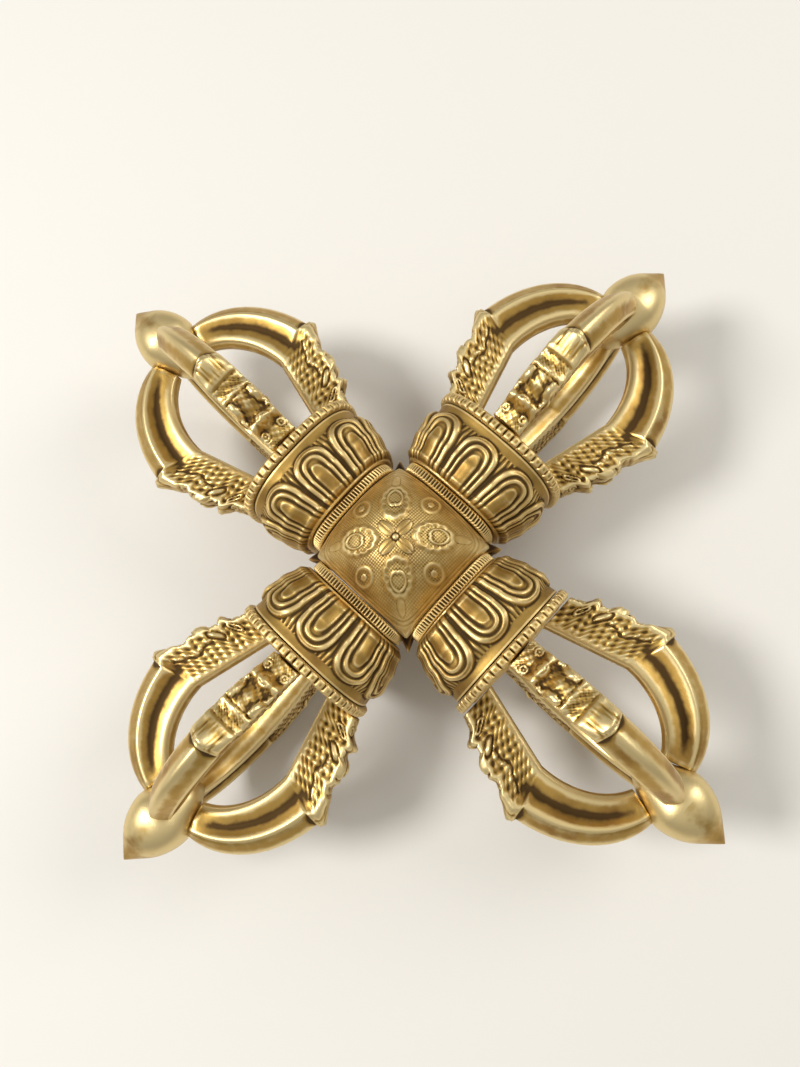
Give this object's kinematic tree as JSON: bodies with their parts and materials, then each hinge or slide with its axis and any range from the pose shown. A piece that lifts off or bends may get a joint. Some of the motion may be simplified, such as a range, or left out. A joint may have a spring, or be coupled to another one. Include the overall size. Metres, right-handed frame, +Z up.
{
  "type": "double vajra",
  "caption": "Cross-shaped cast ritual object: a cushion hub with lotus collars, open cages of bowed prongs and pointed tips.",
  "frame": {"origin": "on the surface it lies on, under the middle of the hub", "axes": "+Z up through the hub's engraved face; the arms run along +X, +Y, -X and -Y"},
  "size_m": [0.25, 0.25, 0.0752],
  "materials": {
    "patinated_brass": "dull cast brass with brown patina",
    "engraved_brass": "engraved brass, rubbed bright on the high lines",
    "cast_relief_brass": "cast brass relief with dark recesses",
    "polished_brass": "polished cast brass"
  },
  "bodies": {
    "root": {"hub_core": "patinated_brass", "hub_plate_top": "engraved_brass", "hub_plate_bottom": "engraved_brass", "ribbed_ring_east": "cast_relief_brass", "lotus_collar_east": "cast_relief_brass", "beaded_ring_east": "cast_relief_brass", "pointed_tip_east": "polished_brass", "prong_east_top": "polished_brass", "prong_east_left": "polished_brass", "prong_east_bottom": "polished_brass", "prong_east_right": "polished_brass", "ribbed_ring_north": "cast_relief_brass", "lotus_collar_north": "cast_relief_brass", "beaded_ring_north": "cast_relief_brass", "pointed_tip_north": "polished_brass", "prong_north_top": "polished_brass", "prong_north_left": "polished_brass", "prong_north_bottom": "polished_brass", "prong_north_right": "polished_brass", "ribbed_ring_west": "cast_relief_brass", "lotus_collar_west": "cast_relief_brass", "beaded_ring_west": "cast_relief_brass", "pointed_tip_west": "polished_brass", "prong_west_top": "polished_brass", "prong_west_left": "polished_brass", "prong_west_bottom": "polished_brass", "prong_west_right": "polished_brass", "ribbed_ring_south": "cast_relief_brass", "lotus_collar_south": "cast_relief_brass", "beaded_ring_south": "cast_relief_brass", "pointed_tip_south": "polished_brass", "prong_south_top": "polished_brass", "prong_south_left": "polished_brass", "prong_south_bottom": "polished_brass", "prong_south_right": "polished_brass"}
  },
  "joints": []
}
